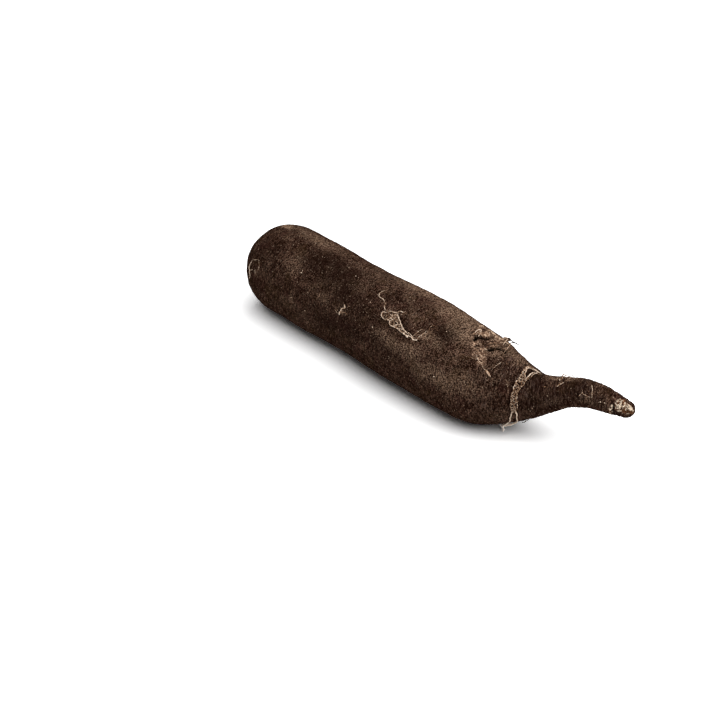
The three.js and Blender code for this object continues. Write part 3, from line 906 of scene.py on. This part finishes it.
# Curls of split bark and stiff hairs: width, tint and free places (distance, degrees, height).
CURLS = [
    (0.75, 1.1, [(205.6, 0, 0.9), (205, -6, 1.4), (205.8, -10, 1.6), (207, -8, 1.8), (208.8, 0, 1.4)]),
    (0.5, 0.9, [(207, 2, 1.5), (206.8, -3, 1.8), (208, -7, 1.6)]),
    (0.6, 0.5, [(207.6, -9, 1.0), (209.6, -8, 1.7), (210.8, -3, 1.0)]),
    (0.6, 0.9, [(210.2, -17, 1.0), (211.6, -14, 1.7), (213, -10, 1.2)]),
    (0.5, 0.5, [(211, -24, 0.6), (214.5, -17, 1.3), (217.7, -12, 0.5)]),
    (1.0, 0.8, [(218, -26, 0.3), (217, -36, 1.2), (217.5, -41, 1.6), (219, -40, 2.2)]),
    (0.7, 1.1, [(223.4, -16, 0.4), (222, -24, 1.8), (219, -37, 1.4)]),
    (0.7, 1.0, [(227, -17, 0.2), (225.4, -26, 1.4), (223.2, -36, 1.0)]),
    (0.4, 0.9, [(228.2, -4, 0.1), (227.5, -11, 0.7), (226.9, -18, 0.8), (225.8, -25, 0.6)]),
    (0.3, 0.7, [(226.8, -8, 0.1), (225.5, -13, 0.8), (224.3, -20, 0.6)]),
    (0.7, -0.2, [(217, -40, 0.5), (218.5, -40, 2.4), (220.5, -40, 1.9), (223, -40, 2.3), (227.5, -40, 3.6)]),
    (0.7, -0.5, [(222, -40, 1.0), (224, -40, 2.6), (225.5, -40, 3.4)]),
    (0.6, 0.8, [(268.8, 34, 0.1), (270.3, 29, 0.6), (272.7, 19, 0.4)]),
    (0.55, 0.7, [(270.6, 12, 0.2), (271, 0, 0.8), (271, -14, 1.4), (271.4, -22, 2.2)]),
    (0.4, 0.5, [(272.8, 6, 0.2), (272.4, -8, 0.8), (271.6, -20, 1.8)]),
    (0.45, 0.7, [(272.8, -4, 0.2), (273.6, -16, 0.8), (275.8, -12, 0.8), (275.6, 2, 0.6), (273.9, 1, 0.2)]),
    (0.8, 1.0, [(269.6, 1, 0.1), (270.3, 8, 0.3)]),
    (0.7, 1.1, [(271, 2, 0.3), (271.2, -8, 1.6), (271.5, -10, 2.4)]),
    (0.5, 0.6, [(271.8, -4, 0.6), (273, -10, 2.2), (276, -10, 2.0), (278, -8, 0.9)]),
    (0.5, 0.0, [(270.2, -12, 0.4), (270.5, -22, 1.6)]),
]
# Crumbs of dried soil and rootlet stubs.
CRUMBS = [(132.3, 38), (200.6, 76), (65.8, 47), (103.4, 16), (77.7, 64), (77.8, 89), (295.5, 70)]
CRUMBS += [(297.9, 67), (192, 21), (144, 62), (160, 110), (64.5, 81)]
FAINT_CRUMBS = [(54.5, 2), (55.3, 4.5), (250.5, 108), (252, 100)]
# Frayed places: how many fibres, their middle, their spread, and the way they lie.
FRAYED = [(14, (218, 22), (2.4, 7), 0.9), (14, (221, -8), (4, 8), 0.5)]
FRAYED += [(10, (207, 0), (3, 7), 0.5), (8, (112.5, 63), (2, 3), 0.6)]


def make_loose_fibres(root):
    """Loose threads and short fibres: on the torn shoulder, the flank, the crown and the tail."""
    loose = Tangle(root, 21)
    for width, tint, route in LOOSE_THREADS:
        loose.strand(route, width, tint)
    loose.strand([(226, 37.5), (227.7, 40.5), (229.5, 43)], 1.45, 0.5, lift=0.5, wander=0, ends=0.5)
    for width, tint, places in CURLS:
        loose.curl(places, width, tint)
    for crumbs, width, tint in ((CRUMBS, 0.65, 0.75), (FAINT_CRUMBS, 0.45, 0.4)):
        for distance, degrees in crumbs:
            loose.strand([(distance, degrees), (distance + 0.8, degrees + 1)], width, tint)
    for place in FRAYED:
        loose.fray(*place)
    return loose.build("loose_fibres", "tint")


# -------- materials


def colour(code):
    """A colour written as sRGB hex, as the linear value that a shader takes."""
    parts = [int(code[k : k + 2], 16) / 255 for k in (1, 3, 5)]
    return [p / 12.92 if p <= 0.04045 else ((p + 0.055) / 1.055) ** 2.4 for p in parts] + [1.0]


def node(tree, kind, inputs=None, settings=None, output=0):
    """Adds a shader node and gives back one of its outputs. An input takes a plain value or the
    output of another node."""
    made = tree.nodes.new("ShaderNode" + kind)
    for name, value in (settings or {}).items():
        setattr(made, name, value)
    for name, value in (inputs or {}).items():
        if isinstance(value, bpy.types.NodeSocket):
            tree.links.new(value, made.inputs[name])
        else:
            made.inputs[name].default_value = value
    return made.outputs[output] if made.outputs else None


def new_material(name):
    material = bpy.data.materials.new(name)
    material.use_nodes = True
    material.node_tree.nodes.clear()
    return material, material.node_tree


# Noise on the skin: cell size in mm along the root, size round it, detail and distortion.
SKIN_PATTERNS = {
    "clouds": (14.0, 12.0, 4.0, 0.5),
    "hues": (9.0, 9.0, 3.0, 0.5),
    "mottle": (3.5, 4.5, 3.0, 0.5),
    "wrinkles": (0.8, 5.0, 1.5, 0.4),
    "streaks": (0.6, 3.0, 2.0, 0.8),
    "grain": (0.75, 0.8, 1.0, 0.0),
    "specks": (0.9, 1.0, 1.0, 0.0),
    "fibres": (2.4, 0.8, 3.0, 0.5),
    "crumbs": (0.5, 0.5, 2.0, 0.0),
}
SKIN_BUMPS = {"grain": 0.5, "streaks": 0.5, "wrinkles": 0.6}  # depth in mm
SKIN_ROUGHNESS = (0.62, 0.85)
# Coats of colour from the bottom up: where, by which noise, its range, strength and colour.
# A range of -1 to 0 covers the whole place.
SKIN_COATS = [
    ("skin", "clouds", 0.38, 0.62, 0.8, "#26140B"),
    ("skin", "mottle", 0.46, 0.34, 0.2, "#140601"),
    ("skin", "streaks", 0.50, 0.64, 0.6, "#4B3329"),
    ("rough", "streaks", 0.54, 0.66, 0.9, "#755849"),
    ("skin", "streaks", 0.47, 0.37, 0.75, "#0E0300"),
    ("rough", "grain", 0.54, 0.65, 0.75, "#806353"),
    ("skin", "grain", 0.46, 0.36, 0.7, "#0B0200"),
    # Painted shade on skin that faces down.
    ("painted_shade_below", "streaks", 0.70, 0.40, 0.6, "#1C0A03"),
    # Dust and rubbed skin, paler where the skin faces up as painted top light.
    ("dust_and_top_light", "clouds", 0.35, 0.65, 0.25, "#523A2B"),
    ("dust_and_top_light", "streaks", 0.46, 0.62, 0.6, "#836651"),
    ("dust_and_top_light", "grain", 0.48, 0.60, 1.0, "#A98C75"),
    ("dust_and_top_light", "grain", 0.47, 0.38, 0.7, "#1A0C06"),
    ("skin", "hues", 0.54, 0.66, 0.25, "#402520"),
    ("skin", "hues", 0.46, 0.34, 0.25, "#3C2C18"),
    ("dark", "mottle", -1.0, 0.0, 0.65, "#1F120D"),
    ("dark", "grain", 0.72, 0.50, 0.3, "#110603"),
    ("wrinkled", "wrinkles", 0.46, 0.34, 0.9, "#0E0402"),
    ("wrinkled", "wrinkles", 0.56, 0.70, 0.6, "#67534A"),
    ("skin", "specks", 0.68, 0.76, 0.9, "#A38C78"),
    ("torn", "fibres", -1.0, 0.0, 0.8, "#34231A"),
    ("torn", "fibres", 0.40, 0.58, 0.85, "#94705A"),
    ("torn", "grain", 0.51, 0.62, 0.95, "#D3B397"),
    ("torn", "grain", 0.46, 0.38, 0.6, "#1E120C"),
    # Painted shade under the matted rootlets.
    ("under", "grain", -1.0, 0.0, 0.8, "#0C0301"),
    ("pith", "crumbs", -1.0, 0.0, 1.0, "#1A0B06"),
    ("pith", "crumbs", 0.44, 0.58, 0.8, "#A06E4C"),
    ("crumb", "crumbs", 0.40, 0.50, 1.0, "#FFE9CE"),
    # Painted shade, near-black in the cracks.
    ("painted_crack_shade", "grain", -1.0, 0.0, 1.0, "#040201"),
    ("scarred", "grain", 0.42, 0.60, 0.6, "#5E4735"),
    ("stub", "fibres", -1.0, 0.0, 0.9, "#3A281D"),
    ("stub", "grain", 0.42, 0.56, 0.8, "#6E5240"),
    ("cut", "crumbs", 0.40, 0.60, 0.8, "#8C6C4E"),
]


def radish_skin():
    """Black radish skin is a thin, dry cork. The eye gets a brown-black that is nearly matt, with
    fine wrinkles that run round the root, paler brown where it is rubbed, and dried soil in specks.
    Its colour also holds painted light and shade: paler on skin that faces up, darker on skin that
    faces down, near-black in the cracks and dark under the matted rootlets.
    The finest wrinkles are drawn about twice as coarse as the real ones, so that they show."""
    material, tree = new_material("radish skin")
    flow = node(tree, "Attribute", None, {"attribute_name": "flow"}, "Vector")
    noises = {}
    for name, (along, around, detail, twist) in SKIN_PATTERNS.items():
        shift = 7.0 * len(noises)
        inputs = {"Vector": flow, "Scale": (1 / along, 1 / around, 1 / around), "Location": (shift,) * 3}
        inputs = {"Vector": node(tree, "Mapping", inputs), "Scale": 1.0, "Roughness": 0.6}
        noises[name] = node(tree, "TexNoise", inputs | {"Detail": detail, "Distortion": twist})

    places = {"skin": 1.0}
    shade = colour("#1D0C06")
    for place, pattern, low, high, strength, code in SKIN_COATS:
        if place not in places:
            places[place] = node(tree, "Attribute", None, {"attribute_name": place}, "Fac")
        inputs = {"Value": noises[pattern], "From Min": low, "From Max": high, "To Max": strength}
        share = node(tree, "MapRange", inputs, {"interpolation_type": "SMOOTHSTEP"})
        share = node(tree, "Math", {0: places[place], 1: share}, {"operation": "MULTIPLY"})
        shade = node(tree, "Mix", {0: share, 6: shade, 7: colour(code)}, {"data_type": "RGBA"}, 2)

    surface = {}
    for pattern, depth in SKIN_BUMPS.items():
        surface["Normal"] = node(tree, "Bump", surface | {"Height": noises[pattern], "Distance": depth * MM})
    smooth, rough = SKIN_ROUGHNESS
    inputs = {"Value": noises["grain"], "From Min": 0.3, "From Max": 0.7, "To Min": smooth, "To Max": rough}
    surface |= {"Base Color": shade, "Roughness": node(tree, "MapRange", inputs), "Specular IOR Level": 0.0}
    node(tree, "OutputMaterial", {"Surface": node(tree, "BsdfPrincipled", surface)})
    return material


def dried_matter(name, layer, cell, detail, stain, base, steps, surface, depth=0):
    """A material in steps of tone, from a layer of the mesh and a noise with its gain and shift.
    The noise's cell and the depth of its bumps are in mm."""
    material, tree = new_material(name)
    tone = node(tree, "Attribute", None, {"attribute_name": layer}, "Fac")
    place = node(tree, "TexCoord", output="Object")
    grain = node(tree, "TexNoise", {"Vector": place, "Scale": 1 / (cell * MM), "Detail": detail})
    blotch = node(tree, "Math", {0: grain, 1: stain[0], 2: stain[1]}, {"operation": "MULTIPLY_ADD"})
    tone = node(tree, "Math", {0: blotch, 1: tone}, {"operation": "ADD"})
    shade = colour(base)
    for low, high, code in steps:
        share = node(tree, "MapRange", {"Value": tone, "From Min": low, "From Max": high})
        shade = node(tree, "Mix", {0: share, 6: shade, 7: colour(code)}, {"data_type": "RGBA"}, 2)
    surface = surface | {"Base Color": shade}
    if depth:
        surface["Normal"] = node(tree, "Bump", {"Height": grain, "Distance": depth * MM})
    node(tree, "OutputMaterial", {"Surface": node(tree, "BsdfPrincipled", surface)})
    return material


def dry_rootlet():
    """Dried rootlets are straw-like: cream threads, matt, brown where soil has stained them. Their tones
    also hold painted shade on the sides and underside of each strand, and a near-white step of painted light
    for strands in the root's shadow.
    """
    # The near-white last step is painted light for strands that lie in shade.
    steps = ((0.0, 0.5, "#926D50"), (0.5, 1.0, "#E4CEB8"), (1.6, 2.4, "#FFFDF8"))
    surface = {"Roughness": 0.7, "Specular IOR Level": 0.1}
    return dried_matter("dry rootlet", "tint", 0.75, 2.0, (2.6, -1.45), "#241006", steps, surface)


def torn_bark():
    """Torn cork bark: as brown as the skin outside, and tan and fibrous where it has split."""
    steps = ((0.0, 0.35, "#4E382B"), (0.35, 0.7, "#8E705A"), (0.7, 1.0, "#CDB298"))
    surface = {"Roughness": 0.8, "Specular IOR Level": 0.02}
    return dried_matter("torn bark", "pale", 0.7, 3.0, (1.4, -0.7), "#1E120D", steps, surface, 0.5)


# -------- table and light

TABLE_SIZE = 2.2  # metres
TABLE_GAIN = 1.43  # how much brighter than plain white the table is drawn for the eye
ROOM_LIGHT = 0.12  # the light that comes from all round, as a share of plain white
# The lamp: where it hangs, its side in metres and its power in watts.
LAMP_PLACE, LAMP_SIZE, LAMP_POWER = Vector((0.48, 0.05, 1.52)), 2.7, 59


def to_eye(tree):
    """1 for rays from the camera, and for what is seen by reflection or through glass."""
    seen = node(tree, "LightPath", output="Is Camera Ray")
    for kind in ("Is Glossy Ray", "Is Transmission Ray"):
        inputs = {0: seen, 1: node(tree, "LightPath", output=kind)}
        seen = node(tree, "Math", inputs, {"operation": "ADD", "use_clamp": True})
    return seen


def make_table():
    """A plain white table, drawn a little brighter than white so that it meets the white beyond."""
    bpy.ops.mesh.primitive_plane_add(size=TABLE_SIZE)
    table = bpy.context.object
    table.name = "table"
    material, tree = new_material("white table")
    paint = node(tree, "BsdfDiffuse", {"Color": colour("#E8E8E8")})
    bright = node(tree, "BsdfDiffuse", {"Color": [TABLE_GAIN] * 3 + [1]})
    both = node(tree, "MixShader", {0: to_eye(tree), 1: paint, 2: bright})
    node(tree, "OutputMaterial", {"Surface": both})
    table.data.materials.append(material)


def make_world():
    """White all round to the eye, and a faint even light in the shadows."""
    world = bpy.data.worlds.new("studio")
    bpy.context.scene.world = world
    world.use_nodes = True
    tree = world.node_tree
    tree.nodes.clear()
    white = {"Color": colour("#FFFFFF")}
    room = node(tree, "Background", white | {"Strength": ROOM_LIGHT})
    plain = node(tree, "Background", white | {"Strength": 1.0})
    both = node(tree, "MixShader", {0: to_eye(tree), 1: room, 2: plain})
    node(tree, "OutputWorld", {"Surface": both})


def make_lamp():
    """One large soft box above, which gives the skin its even light and the soft shadow."""
    lamp = add_thing("soft box", bpy.data.lights.new("soft box", "AREA"))
    lamp.data.shape, lamp.data.size, lamp.data.energy = "SQUARE", LAMP_SIZE, LAMP_POWER
    lamp.location = LAMP_PLACE
    aim(lamp, -LAMP_PLACE)


# -------- the whole scene


def finish_piece(thing, material, slot, *nodes):
    thing.data.materials.append(material)
    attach(thing, "root")
    if nodes:
        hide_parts(*nodes)


root = Root()
skin, rootlet, bark = radish_skin(), dry_rootlet(), torn_bark()
finish_piece(make_taproot(root), skin, "root_skin", "taproot")
finish_piece(make_flank_rootlets(root), rootlet, "dry_rootlet", "flank_rootlets")
finish_piece(make_neck_rootlets(root), rootlet, "dry_rootlet", "neck_rootlets")
finish_piece(make_shoulder_bark(root), bark, "torn_bark", "shoulder_bark")
finish_piece(make_loose_fibres(root), rootlet, "dry_rootlet")

make_camera()
make_table()
make_world()
make_lamp()
bpy.context.scene.view_settings.view_transform = "Standard"
